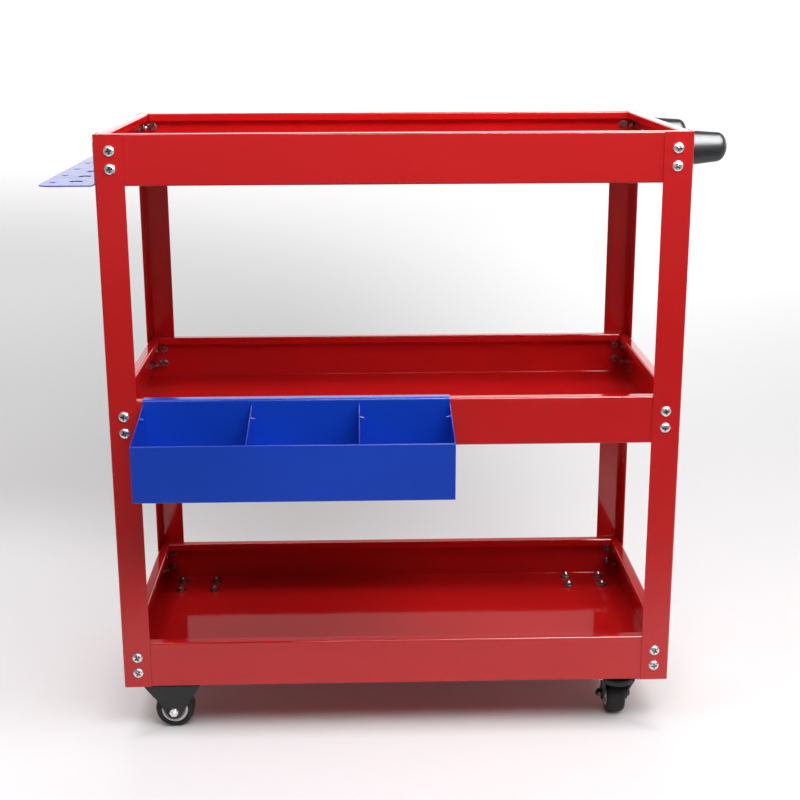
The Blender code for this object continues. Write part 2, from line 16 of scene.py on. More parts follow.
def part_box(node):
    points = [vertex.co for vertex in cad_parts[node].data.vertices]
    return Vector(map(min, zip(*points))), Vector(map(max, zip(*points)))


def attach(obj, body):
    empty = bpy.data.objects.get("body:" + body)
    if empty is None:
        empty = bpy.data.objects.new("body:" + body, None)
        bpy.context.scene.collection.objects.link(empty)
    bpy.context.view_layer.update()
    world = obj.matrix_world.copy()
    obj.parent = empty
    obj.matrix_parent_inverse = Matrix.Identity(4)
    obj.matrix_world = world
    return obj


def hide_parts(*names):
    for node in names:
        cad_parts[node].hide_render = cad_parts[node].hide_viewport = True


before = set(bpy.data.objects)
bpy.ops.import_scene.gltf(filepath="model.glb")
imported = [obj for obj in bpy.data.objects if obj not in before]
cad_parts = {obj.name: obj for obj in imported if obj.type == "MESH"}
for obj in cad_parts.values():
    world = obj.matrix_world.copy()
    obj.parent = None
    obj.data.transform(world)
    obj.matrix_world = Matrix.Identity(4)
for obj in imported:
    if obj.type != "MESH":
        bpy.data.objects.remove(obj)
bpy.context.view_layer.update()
MM = 0.001
FRAME_BODY = "cart_frame"
BIN_BODY = "bin"
CASTERS = [(kind, f"{kind}_{depth}") for kind in ("fixed", "swivel") for depth in ("front", "back")]
PIECES = []
random.seed(7)


# ---------------------------------------------------------------- nodes and materials

class Nodes:
    """Short calls for building a node tree."""

    def __init__(self, tree, shader, place):
        self.tree = tree
        self.shader = tree.nodes[shader]
        self.place = self.add("ShaderNodeTexCoord").outputs[place]

    def add(self, kind, **settings):
        node = self.tree.nodes.new(kind)
        for key, value in settings.items():
            setattr(node, key, value)
        return node

    def link(self, start, end):
        self.tree.links.new(start, end)

    def maths(self, operation, first, second=0.0):
        """One step of arithmetic on two values, each a number or another node's output."""
        node = self.add("ShaderNodeMath", operation=operation)
        for socket, value in zip(node.inputs, (first, second)):
            if isinstance(value, bpy.types.NodeSocket):
                self.link(value, socket)
            else:
                socket.default_value = value
        return node.outputs["Value"]

    def split(self):
        """The place's X, Y and Z."""
        node = self.add("ShaderNodeSeparateXYZ")
        self.link(self.place, node.inputs["Vector"])
        return [node.outputs[axis] for axis in "XYZ"]

    def noise(self, scale, detail=2.0, roughness=0.5):
        node = self.add("ShaderNodeTexNoise")
        node.inputs["Scale"].default_value = scale
        node.inputs["Detail"].default_value = detail
        node.inputs["Roughness"].default_value = roughness
        self.link(self.place, node.inputs["Vector"])
        return node.outputs["Fac"]

    def spread(self, source, low, high, start=0.3, end=0.7, kind="LINEAR"):
        """Map a source's start..end to low..high."""
        node = self.add("ShaderNodeMapRange", interpolation_type=kind)
        for name, value in (("From Min", start), ("From Max", end), ("To Min", low), ("To Max", high)):
            node.inputs[name].default_value = value
        self.link(source, node.inputs["Value"])
        return node.outputs["Result"]

    def ramp(self, source, start, end, low=0.0, high=1.0):
        """Go smoothly from low to high while the source goes from start to end."""
        return self.spread(source, low, high, start, end, "SMOOTHSTEP")

    def blend(self, factor, first, second):
        node = self.add("ShaderNodeMix", data_type="RGBA")
        node.inputs["A"].default_value = (*first, 1)
        node.inputs["B"].default_value = (*second, 1)
        self.link(factor, node.inputs["Factor"])
        return node

    def bump(self, height, distance, strength=1.0, under=None):
        node = self.add("ShaderNodeBump")
        node.inputs["Strength"].default_value = strength
        node.inputs["Distance"].default_value = distance
        self.link(height, node.inputs["Height"])
        if under is not None:
            self.link(under, node.inputs["Normal"])
        return node.outputs["Normal"]


def new_material(name, metallic=0.0):
    material = bpy.data.materials.new(name)
    material.use_nodes = True
    nodes = Nodes(material.node_tree, "Principled BSDF", "Object")
    nodes.shader.inputs["Metallic"].default_value = metallic
    return material, nodes


def powder_coat(name, deep, light, gloss, peel, wave):
    """Sprayed and baked paint: slow changes of shade, orange peel and the sheet's own waviness."""
    material, nodes = new_material(name)
    shade = nodes.blend(nodes.spread(nodes.noise(5, 3), 0, 1), deep, light)
    nodes.link(shade.outputs["Result"], nodes.shader.inputs["Base Color"])
    dust = nodes.spread(nodes.noise(60, 4, 0.6), gloss[0], gloss[1], 0.35, 0.75)
    nodes.link(dust, nodes.shader.inputs["Roughness"])
    slow = nodes.bump(nodes.noise(7, 1), wave)
    fine = nodes.bump(nodes.noise(650, 2), peel, 0.5, under=slow)
    nodes.link(fine, nodes.shader.inputs["Normal"])
    nodes.shader.inputs["IOR"].default_value = 1.5
    return material


def plated_metal(name, colour, gloss, metallic=1.0):
    """Bright zinc: mottled shine with fine scratches from tumbling."""
    material, nodes = new_material(name, metallic)
    dull = tuple(0.72 * part for part in colour)
    shade = nodes.blend(nodes.spread(nodes.noise(700, 3), 0, 1), colour, dull)
    nodes.link(shade.outputs["Result"], nodes.shader.inputs["Base Color"])
    nodes.link(nodes.spread(nodes.noise(420, 4), *gloss), nodes.shader.inputs["Roughness"])
    nodes.link(nodes.bump(nodes.noise(1600, 2), 0.02 * MM, 0.6), nodes.shader.inputs["Normal"])
    return material


def moulded(name, colour, worn, gloss, grain, scale=900, ior=1.5):
    """Plastic, rubber or satin coat: a fine grain, and paler where it is dusty."""
    material, nodes = new_material(name)
    shade = nodes.blend(nodes.spread(nodes.noise(45, 4, 0.6), 0, 1, 0.45, 0.8), colour, worn)
    nodes.link(shade.outputs["Result"], nodes.shader.inputs["Base Color"])
    nodes.link(nodes.spread(nodes.noise(80, 3), *gloss), nodes.shader.inputs["Roughness"])
    nodes.link(nodes.bump(nodes.noise(scale, 2), grain, 0.6), nodes.shader.inputs["Normal"])
    nodes.shader.inputs["IOR"].default_value = ior
    return material


RED = powder_coat("red_powder_coat", (0.52, 0.0085, 0.0092), (0.56, 0.0100, 0.0110),
                  (0.05, 0.11), 0.02 * MM, 0.35 * MM)
BLUE = powder_coat("blue_powder_coat", (0.0060, 0.050, 0.47), (0.0070, 0.057, 0.52),
                   (0.14, 0.22), 0.03 * MM, 0.25 * MM)
ZINC = plated_metal("zinc_plate", (0.90, 0.91, 0.92), (0.16, 0.30), 0.75)
# a darker copy of the zinc: painted shade on the nuts and shanks inside the trays, and on the bolts, ball
# races and kingpins under the lowest tray
SHADED_ZINC = plated_metal("shaded_zinc_plate", (0.46, 0.46, 0.48), (0.14, 0.26))
# black zinc for the swivels' axle parts, also used as painted shade in the screws' cross recesses
BLACK_ZINC_AND_RECESS_SHADE = plated_metal("black_zinc_and_recess_shade", (0.085, 0.085, 0.09), (0.26, 0.40))
HANDLE_PLASTIC = moulded("handle_plastic", (0.016, 0.018, 0.021), (0.026, 0.028, 0.032),
                         (0.28, 0.32), 0.002 * MM)
CASTER_COAT = moulded("caster_coat", (0.010, 0.012, 0.012), (0.021, 0.023, 0.023),
                      (0.36, 0.52), 0.03 * MM, ior=1.42)
# near black for the fixed casters' axle rings: painted shadow round the axle heads
RING_SHADOW_BLACK = moulded("ring_painted_shadow_black", (0.003, 0.003, 0.003), (0.006, 0.006, 0.006), (0.5, 0.7), 0.02 * MM)
BAR_COAT = moulded("bar_coat", (0.012, 0.013, 0.014), (0.024, 0.025, 0.026), (0.28, 0.40), 0.02 * MM)
RUBBER = moulded("tyre_rubber", (0.006, 0.006, 0.006), (0.024, 0.023, 0.022), (0.50, 0.72),
                 0.05 * MM, 500, 1.38)
HUB_PLASTIC = moulded("hub_plastic", (0.62, 0.62, 0.60), (0.50, 0.50, 0.48), (0.34, 0.50), 0.02 * MM)

LOOK = {"red_paint": RED, "blue_paint": BLUE, "black_plastic": HANDLE_PLASTIC, "black_steel": CASTER_COAT,
        "zinc": ZINC, "tyre_rubber": RUBBER, "grey_plastic": HUB_PLASTIC}


# ---------------------------------------------------------------- mesh tools

def add_piece(name, mesh, slot, body, replaced=(), location=(0, 0, 0), rotation=None, material=None):
    """One visible piece, with its finish, on its CAD body."""
    piece = bpy.data.objects.new(name, mesh)
    bpy.context.scene.collection.objects.link(piece)
    if not mesh.materials:
        mesh.materials.append(material or LOOK[slot])
    piece.location = location
    if rotation is not None:
        piece.rotation_mode = "QUATERNION"
        piece.rotation_quaternion = rotation
    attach(piece, body)
    if replaced:
        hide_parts(*replaced)
    PIECES.append(piece)
    return piece


def weigh_normals():
    """Flat sheet stays flat right up to its bends: larger faces lead the shading."""
    for piece in PIECES:
        weighted = piece.modifiers.new("normals", "WEIGHTED_NORMAL")
        weighted.keep_sharp = True


def to_mesh(name, bm, smooth=40):
    bmesh.ops.recalc_face_normals(bm, faces=bm.faces)
    mesh = bpy.data.meshes.new(name)
    bm.to_mesh(mesh)
    bm.free()
    mesh.shade_smooth()
    mesh.set_sharp_from_angle(angle=math.radians(smooth))
    return mesh


def baked_mesh(obj, smooth=40, tools=()):
    """The object's mesh with its modifiers applied; the object and its cutting tools are removed."""
    bpy.context.view_layer.update()
    evaluated = obj.evaluated_get(bpy.context.evaluated_depsgraph_get())
    mesh = bpy.data.meshes.new_from_object(evaluated)
    mesh.name = obj.name
    for used in (obj, *tools):
        bpy.data.objects.remove(used)
    mesh.shade_smooth()
    mesh.set_sharp_from_angle(angle=math.radians(smooth))
    return mesh


def loose(name, mesh):
    """A working object, or one of the stage's, that is not a piece of the cart."""
    obj = bpy.data.objects.new(name, mesh)
    bpy.context.scene.collection.objects.link(obj)
    return obj


def boolean(obj, tool, operation="DIFFERENCE"):
    cut = obj.modifiers.new(operation.lower(), "BOOLEAN")
    cut.operation = operation
    cut.object = tool
    cut.solver = "EXACT"


def soften(piece, width, angle=35):
    """Round the edges that bend by more than an angle in degrees."""
    bevel = piece.modifiers.new("edges", "BEVEL")
    bevel.width = width
    bevel.segments = 2
    bevel.limit_method = "ANGLE"
    bevel.angle_limit = math.radians(angle)


def thicken(obj, thickness, offset=-1.0, even=True):
    """Give a surface its sheet's thickness: inside it at -1, outside at 1, on both sides at 0."""
    solidify = obj.modifiers.new("sheet", "SOLIDIFY")
    solidify.thickness = thickness
    solidify.offset = offset
    solidify.use_even_offset = even


def rounded_path(points, radius, steps=5):
    """A path with each inner corner replaced by an arc; radius is one value or one for each."""
    path = [Vector(points[0])]
    corners = list(zip(points, points[1:], points[2:]))
    radii = radius if isinstance(radius, (list, tuple)) else [radius] * len(corners)
    for (before, corner, after), bend in zip(corners, radii):
        corner = Vector(corner)
        if bend == 0:
            path.append(corner)
            continue
        back = (Vector(before) - corner).normalized()
        ahead = (Vector(after) - corner).normalized()
        reach = bend / math.tan(back.angle(ahead) / 2)
        centre = corner + (back + ahead).normalized() * math.hypot(reach, bend)
        start = corner + back * reach - centre
        turn = -start.angle_signed(corner + ahead * reach - centre)
        for step in range(steps + 1):
            path.append(centre + Matrix.Rotation(turn * step / steps, 2) @ start)
    path.append(Vector(points[-1]))
    return path


def rounded_outline(points, radii, steps=6):
    """A closed outline with each corner replaced by an arc of its own radius."""
    outline = []
    for index, radius in enumerate(radii):
        trio = (points[index - 1], points[index], points[(index + 1) % len(points)])
        outline.extend([Vector(trio[1])] if radius == 0 else rounded_path(trio, radius, steps)[1:-1])
    return outline


def circle(radius, count, centre=(0, 0)):
    turn = 2 * math.pi / count
    return [Vector((centre[0] + radius * math.cos(i * turn), centre[1] + radius * math.sin(i * turn)))
            for i in range(count)]


def plate(name, loops, thickness, edge=0.25 * MM):
    """A flat plate on z = 0 with rounded edges: the first loop, with the others as holes."""
    curve = bpy.data.curves.new(name, "CURVE")
    curve.dimensions = "2D"
    curve.fill_mode = "BOTH"
    curve.extrude = (thickness / 2 - edge) / MM
    curve.bevel_depth = edge / MM
    curve.bevel_resolution = 1
    curve.offset = -edge / MM
    for loop in loops:
        spline = curve.splines.new("POLY")
        spline.points.add(len(loop) - 1)
        for point, spot in zip(spline.points, loop):
            point.co = (spot[0] / MM, spot[1] / MM, 0, 1)
        spline.use_cyclic_u = True
    guide = loose(name, curve)
    mesh = bpy.data.meshes.new_from_object(guide.evaluated_get(bpy.context.evaluated_depsgraph_get()))
    bpy.data.objects.remove(guide)
    bm = bmesh.new()
    bm.from_mesh(mesh)
    bpy.data.meshes.remove(mesh)
    bmesh.ops.scale(bm, verts=bm.verts, vec=(MM, MM, MM))
    bmesh.ops.remove_doubles(bm, verts=bm.verts, dist=0.01 * MM)
    return to_mesh(name, bm)


def make_sheet(obj, thickness, edge=0.35 * MM, offset=-1.0):
    thicken(obj, thickness, offset)
    soften(obj, edge, 38)


def turned(name, profile, steps=48, closed=False, smooth=35):
    """A turned solid about +Z, from (radius, height) points."""
    bm = bmesh.new()
    verts = [bm.verts.new((radius, 0, height)) for radius, height in profile]
    edges = [bm.edges.new(pair) for pair in zip(verts, verts[1:])]
    if closed:
        edges.append(bm.edges.new((verts[-1], verts[0])))
    bmesh.ops.spin(bm, geom=verts + edges, cent=(0, 0, 0), axis=(0, 0, 1), angle=2 * math.pi,
                   steps=steps, use_merge=True)
    bmesh.ops.remove_doubles(bm, verts=bm.verts, dist=0.005 * MM)
    return to_mesh(name, bm, smooth)


def extruded(name, outline, along):
    """A solid from a flat outline of 3-D points, moved along a vector."""
    bm = bmesh.new()
    face = bm.faces.new([bm.verts.new(point) for point in outline])
    swept = bmesh.ops.extrude_face_region(bm, geom=[face])
    moved = [item for item in swept["geom"] if isinstance(item, bmesh.types.BMVert)]
    bmesh.ops.translate(bm, verts=moved, vec=along)
    return to_mesh(name, bm)


def strip(name, rows):
    """A sheet through rows of two points each."""
    bm = bmesh.new()
    made = [[bm.verts.new(point) for point in row] for row in rows]
    for first, second in zip(made, made[1:]):
        bm.faces.new((first[0], first[1], second[1], second[0]))
    return to_mesh(name, bm)


def joined(name, meshes, smooth=35):
    """One mesh from several (mesh, matrix) pairs."""
    bm = bmesh.new()
    for mesh, matrix in meshes:
        mesh.transform(matrix)
        bm.from_mesh(mesh)
        bpy.data.meshes.remove(mesh)
    return to_mesh(name, bm, smooth)


def aim(direction, spin=0.0):
    """Rotation that sends local +Z along a direction, after a spin about it."""
    turn = Vector((0, 0, 1)).rotation_difference(Vector(direction))
    return turn @ Matrix.Rotation(spin, 4, "Z").to_quaternion()


# ---------------------------------------------------------------- frame: trays and posts

SHEET = 1.2 * MM
POST_SHEET = 1.5 * MM
RIM = 13 * MM
LIP = 10 * MM
BEND = 2.0 * MM


def tray_rows():
    """A tray wall's section from the floor's edge to the lip, as (inset, height, corner slit)."""
    low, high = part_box("tray_top")
    height = high.z - low.z
    section = rounded_path([(8 * MM, 0), (0, 0), (0, height), (RIM, height), (RIM, height - LIP)], BEND)
    rows = []
    for inset, level in section:
        slit = 0.0
        if level > height - LIP - MM and inset > 0.05 * MM:
            slit = 1.6 * MM - 1.2 * MM * min(1.0, inset / RIM)
        rows.append((inset, level, slit))
    return rows


def add_tray(name):
    """A pan of folded sheet: four walls with rolled rims that are slit at the corners, and a floor."""
    low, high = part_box(name)
    bm = bmesh.new()
    turn = [Vector((1, 0)), Vector((0, 1)), Vector((-1, 0)), Vector((0, -1))]
    rows = tray_rows()

    def ends(side, inset, slit):
        corners = [Vector((low.x + inset, low.y + inset)), Vector((high.x - inset, low.y + inset)),
                   Vector((high.x - inset, high.y - inset)), Vector((low.x + inset, high.y - inset))]
        return corners[side] + turn[side] * slit, corners[(side + 1) % 4] - turn[side] * slit

    for side in range(4):
        wall = []
        for inset, level, slit in rows:
            start, end = ends(side, inset, slit)
            wall.append([bm.verts.new((*point, low.z + level)) for point in (start, end)])
        for first, second in zip(wall, wall[1:]):
            bm.faces.new((first[0], first[1], second[1], second[0]))
    inset = rows[0][0]
    floor = [ends(side, inset, 0)[0] for side in range(4)]
    bm.faces.new([bm.verts.new((*point, low.z)) for point in floor])
    bmesh.ops.remove_doubles(bm, verts=bm.verts, dist=0.01 * MM)
    piece = add_piece(f"{name}_pan", to_mesh(name, bm), "red_paint", FRAME_BODY, (name,))
    make_sheet(piece, SHEET)


def add_post(depth, side):
    """An angle post with a round heel, its flanges along two sides of the trays' corner."""
    name = f"post_{depth}_{side}"
    low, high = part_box(name)
    flange = high.x - low.x
    section = rounded_outline([(0, 0), (flange, 0), (flange, POST_SHEET), (POST_SHEET, POST_SHEET),
                               (POST_SHEET, flange), (0, flange)],
                              (2.4 * MM, 0.5 * MM, 0.5 * MM, 0.9 * MM, 0.5 * MM, 0.5 * MM))
    sign_x = 1 if side == "left" else -1
    sign_y = 1 if depth == "front" else -1
    corner = Vector((low.x if side == "left" else high.x, low.y if depth == "front" else high.y))
    outline = [(corner.x + sign_x * p.x, corner.y + sign_y * p.y, low.z) for p in section]
    mesh = extruded(name, outline, (0, 0, high.z - low.z))
    piece = add_piece(f"{name}_angle", mesh, "red_paint", FRAME_BODY, (name,))
    soften(piece, 0.3 * MM, 60)


# ---------------------------------------------------------------- fasteners

THREAD = 3.0 * MM                # radius of the M6 thread
PITCH = 1.0 * MM
NUT_RADIUS = 5.77 * MM           # to its corners
NUT_HEIGHT = 5.0 * MM
WASHER_SHEET = 0.9 * MM
RECESS_REACH = 4.9 * MM          # the cross recess: how far out and how deep its faces lie
RECESS_FLOOR = 0.4 * MM
HEAD_HEIGHT = 3.0 * MM           # just under the head's top, which falls away from the middle
HEAD_FALL = 33.0


def thread_profile(low, high):
    """A bolt's end with ring-shaped threads and a chamfered tip, from low up to high."""
    points = []
    level = low
    while level + PITCH < high - 0.6 * MM:
        points += [(THREAD, level + 0.25 * PITCH), (THREAD - 0.45 * MM, level + 0.75 * PITCH)]
        level += PITCH
    points += [(THREAD, level + 0.25 * PITCH), (THREAD - 0.8 * MM, high), (0, high)]
    return points


def hexagon(name, radius, height, chamfer=0.55 * MM):
    """A hex prism on z = 0 with its corners chamfered by a cone, top and bottom."""
    prism = plate(f"{name}_prism", [circle(radius, 6)], height, 0.1 * MM)
    prism.transform(Matrix.Translation((0, 0, height / 2)))
    waist = radius * 0.90
    cone = turned(f"{name}_cone", [(0, 0), (waist, 0), (radius + 0.1 * MM, chamfer),
                                   (radius + 0.1 * MM, height - chamfer), (waist, height), (0, height)])
    body, tool = loose(name, prism), loose(f"{name}_tool", cone)
    boolean(body, tool, "INTERSECT")
    return baked_mesh(body, 25, [tool])


def pan_head():
    """Pan head on z = 0 with a cross recess."""
    profile = [(0, 3.5), (1.8, 3.46), (3.6, 3.2), (4.9, 2.7), (5.8, 2.0), (6.35, 1.2), (6.5, 0.5),
               (6.4, 0.0), (0, 0)]
    head = loose("pan_head", turned("pan_head", [(r * MM, h * MM) for r, h in profile], 40, smooth=50))
    tools = []
    for quarter in range(2):
        bm = bmesh.new()
        bmesh.ops.create_cube(bm, size=1.0)
        for vert in bm.verts:
            top = vert.co.z > 0
            vert.co.x *= (9.4 if top else 4.2) * MM
            vert.co.y *= (2.3 if top else 1.7) * MM
            vert.co.z = (4.4 if top else 0.8) * MM
        bmesh.ops.rotate(bm, verts=bm.verts, matrix=Matrix.Rotation(quarter * math.pi / 2, 3, "Z"))
        tools.append(loose("recess", to_mesh("recess", bm)))
        boolean(head, tools[-1])
    return baked_mesh(head, 30, tools)


def corner_screw():
    """Pan-head screw with its washer, thread and nut; z = 0 is the post's outer face, +Z outward."""
    grip = POST_SHEET + SHEET + 0.3 * MM
    washer = turned("washer", [(THREAD, 0), (6.3 * MM, 0), (6.3 * MM, -WASHER_SHEET),
                               (THREAD, -WASHER_SHEET)], 32, closed=True)
    nut = hexagon("nut", NUT_RADIUS, NUT_HEIGHT)
    shank = turned("shank", [(0, -grip - 0.2 * MM)] + thread_profile(grip, grip + 9.4 * MM), 20)
    down = Matrix.Rotation(math.pi, 4, "X")
    mesh = joined("corner_screw", [
        (pan_head(), Matrix.Identity(4)),
        (washer, Matrix.Translation((0, 0, -grip))),
        (nut, Matrix.Translation((0, 0, -grip - WASHER_SHEET)) @ down),
        (shank, down)])
    return plate_screw(mesh)


def plate_screw(mesh):
    """Bright head; its cross recess gets near-black zinc as painted shade, and the shank, washer and nut
    get darker zinc as painted shade.
    """
    mesh.materials.clear()
    for finish in (ZINC, BLACK_ZINC_AND_RECESS_SHADE, SHADED_ZINC):
        mesh.materials.append(finish)
    for face in mesh.polygons:
        reach = math.hypot(face.center.x, face.center.y)
        inside = (reach < RECESS_REACH
                  and RECESS_FLOOR < face.center.z < HEAD_HEIGHT - HEAD_FALL * reach ** 2)
        # painted shade: near black in the recess, darker zinc below the head
        face.material_index = 1 if inside else 2 if face.center.z < -0.3 * MM else 0
    return mesh


def add_corner_screws():
    """Two screws through each flange of each post, at every tray."""
    mesh = corner_screw()
    across = 18.5 * MM           # from the post's outer edge
    for tray in ("tray_bottom", "tray_middle", "tray_top"):
        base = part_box(tray)[0].z
        for depth, sign_y in (("front", 1), ("back", -1)):
            for side, sign_x in (("left", 1), ("right", -1)):
                low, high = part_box(f"post_{depth}_{side}")
                corner = Vector((low.x if sign_x > 0 else high.x, low.y if sign_y > 0 else high.y))
                places = (("face", (corner.x + sign_x * across, corner.y), (0, -sign_y, 0)),
                          ("end", (corner.x, corner.y + sign_y * across), (-sign_x, 0, 0)))
                for flange, (x, y), outward in places:
                    for level, height in (("low", 20 * MM), ("high", 41 * MM)):
                        name = f"screw_{tray.removeprefix('tray_')}_{depth}_{side}_{flange}_{level}"
                        spin = random.uniform(0, math.pi)
                        add_piece(name, mesh, "zinc", FRAME_BODY, location=(x, y, base + height),
                                  rotation=aim(outward, spin))


def caster_bolt():
    """Hex bolt up through plate and tray floor, with washer and nut; z = 0 is the head's underside."""
    low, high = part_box("fixed_front_bolt_1")
    under = low.z + 4 * MM
    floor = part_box("tray_bottom")[0].z + SHEET + 0.3 * MM - under
    end = high.z - under
    head = hexagon("head", NUT_RADIUS, 4 * MM)
    washer = turned("washer", [(THREAD, 0), (8 * MM, 0), (8 * MM, 1.1 * MM), (THREAD, 1.1 * MM)],
                    36, closed=True)
    nut = hexagon("nut", NUT_RADIUS, NUT_HEIGHT - 0.6 * MM)
    shank = turned("shank", [(0, -0.2 * MM)] + thread_profile(0, end), 20)
    return joined("caster_bolt", [
        (head, Matrix.Translation((0, 0, -4 * MM))),
        (washer, Matrix.Translation((0, 0, floor))),
        (nut, Matrix.Translation((0, 0, floor + 1.1 * MM)) @ Matrix.Rotation(0.3, 4, "Z")),
        (shank, Matrix.Identity(4))])


def add_caster_bolts():
    """Four bolts through each caster's plate and the lowest tray."""
    mesh = caster_bolt()
    for _, prefix in CASTERS:
        for number in (1, 2, 3, 4):
            node = f"{prefix}_bolt_{number}"
            low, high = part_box(node)
            middle = (low + high) / 2
            # the bolts take the darker zinc: painted shade under and inside the lowest tray
            add_piece(f"{node}_and_nut", mesh, "zinc", FRAME_BODY, (node,),
                      (middle.x, middle.y, low.z + 4 * MM), aim((0, 0, 1)), SHADED_ZINC)


# ---------------------------------------------------------------- bin

BIN_FRONT = 69 * MM              # height of the bin's front, where the sloping edges end
HOOK_DROP = 7 * MM
HEM_DEPTH, HEM_DROP = 3 * MM, 7.5 * MM
PANEL_GAP = 0.3 * MM
EAR_LENGTH, EAR_HALF, EAR_SHEET = 6.5 * MM, 1.6 * MM, 1.0 * MM
EAR_PLACE, EAR_SINK = 0.34, 1.4 * MM     # how far down the slope, and below its edge
EAR_TILT = math.radians(14)
EAR_SIDES = {"bin_end_left": 1, "bin_divider_left": 1, "bin_divider_right": 1, "bin_end_right": -1}


def bin_section():
    """The folded shell's section in YZ, from the hook's end to the front hem's end."""
    low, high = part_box("bin_shell")
    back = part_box("tray_middle")[0].y - 0.3 * MM
    front_top = low.z + BIN_FRONT
    hem_back = low.y + HEM_DEPTH
    hook = high - Vector((0, SHEET, SHEET))
    points = [(hook.y, high.z - HOOK_DROP), (hook.y, hook.z), (back, hook.z), (back, low.z),
              (low.y, low.z), (low.y, front_top), (hem_back, front_top), (hem_back, front_top - HEM_DROP)]
    radii = [1.6 * MM, 1.9 * MM, 1.8 * MM, 1.8 * MM, 1.45 * MM, 1.45 * MM]
    return rounded_path(points, radii)


def extruded_path(name, path, start, end):
    """A sheet along a YZ path from one X to another."""
    return strip(name, [[(x, y, z) for x in (start, end)] for y, z in path])


def bin_panel(node, ear_side, front, slope_low):
    """An end or a divider: an upright sheet with a sloping edge and a small locking ear."""
    start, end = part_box(node)
    middle = (start.x + end.x) / 2
    hem_front = front + HEM_DEPTH + PANEL_GAP
    hem_low = slope_low - HEM_DROP - PANEL_GAP
    outline = [(end.y, start.z), (end.y, end.z), (hem_front, slope_low), (hem_front, hem_low),
               (start.y, hem_low), (start.y, start.z)]
    panel = plate(node, [rounded_outline(outline, (0, 2 * MM, 1 * MM, 0, 0, 0))], SHEET)
    upright = Matrix(((0, 0, 1, middle), (1, 0, 0, 0), (0, 1, 0, 0), (0, 0, 0, 1)))
    ear_outline = [(0, -EAR_HALF), (EAR_LENGTH, -EAR_HALF), (EAR_LENGTH, EAR_HALF), (0, EAR_HALF)]
    ear = plate(f"{node}_ear", [rounded_outline(ear_outline, (0, 1.2 * MM, 1.2 * MM, 0))], EAR_SHEET)
    run, rise = hem_front - end.y, slope_low - end.z
    settle = (Matrix.Translation((middle, end.y + run * EAR_PLACE, end.z + rise * EAR_PLACE - EAR_SINK))
              @ Matrix.Rotation(math.atan2(-rise, -run), 4, "X")
              @ Matrix.Rotation(0 if ear_side > 0 else math.pi, 4, "Z")
              @ Matrix.Rotation(EAR_TILT, 4, "Y"))
    return joined(node, [(panel, upright), (ear, settle)])


def add_bin():
    """One folded shell that hangs on the middle tray's rim, with two ends and two dividers."""
    low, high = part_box("bin_shell")
    shell = add_piece("bin_folded_shell", extruded_path("bin_shell", bin_section(), low.x, high.x),
                      "blue_paint", BIN_BODY, ("bin_shell",))
    make_sheet(shell, SHEET)
    for node, ear_side in EAR_SIDES.items():
        mesh = bin_panel(node, ear_side, low.y, low.z + BIN_FRONT)
        add_piece(f"{node}_panel", mesh, "blue_paint", BIN_BODY, (node,))


# ---------------------------------------------------------------- rack and handle

RACK_ROWS = (                    # holes' diameter, pitch, number, distance from the posts
    (8 * MM, 75 * MM, 5, 55.5 * MM),
    (16 * MM, 56 * MM, 6, 29.5 * MM),
)
RACK_SHEET, RACK_BEND, RACK_CORNER = 1.5 * MM, 3.0 * MM, 15 * MM
FLANGE_INSET = 9 * MM            # the upright flange is this much shorter at each end
NOSE_HALF, NOSE_LENGTH = 17.8 * MM, 12.5 * MM
BRACKET_LIFT = 1.6 * MM          # how far the bracket's nose stands above its base's middle
SOCKET_RADIUS, SOCKET_DEPTH, SOCKET_GAP = 10.3 * MM, 30 * MM, 0.3 * MM


def add_rack():
    """Drilled shelf, and the bend and flange that join it to the posts."""
    low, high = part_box("tool_rack")
    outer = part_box("post_front_left")[0].x
    middle = (low.y + high.y) / 2
    inner = high.x - RACK_BEND
    outline = rounded_outline([(low.x, low.y), (inner, low.y), (inner, high.y), (low.x, high.y)],
                              (RACK_CORNER, 0, 0, RACK_CORNER), 12)
    loops = [outline]
    for diameter, pitch, number, reach in RACK_ROWS:
        for index in range(number):
            y = middle + (index - (number - 1) / 2) * pitch
            loops.append(circle(diameter / 2, 36, (outer - reach, y)))
    shelf = plate("rack_shelf", loops, RACK_SHEET, 0.2 * MM)
    section = rounded_path([(inner - 0.4 * MM, low.z), (high.x, low.z), (high.x, high.z)], RACK_BEND)
    ends = (low.y + FLANGE_INSET, high.y - FLANGE_INSET)
    flange = loose("rack_flange", strip("rack_flange", [[(x, y, z) for y in ends] for x, z in section]))
    make_sheet(flange, RACK_SHEET, 0.3 * MM, 1.0)
    mesh = joined("tool_rack", [(shelf, Matrix.Translation((0, 0, low.z + RACK_SHEET / 2))),
                                (baked_mesh(flange), Matrix.Identity(4))])
    add_piece("rack_sheet", mesh, "blue_paint", FRAME_BODY, ("tool_rack",))


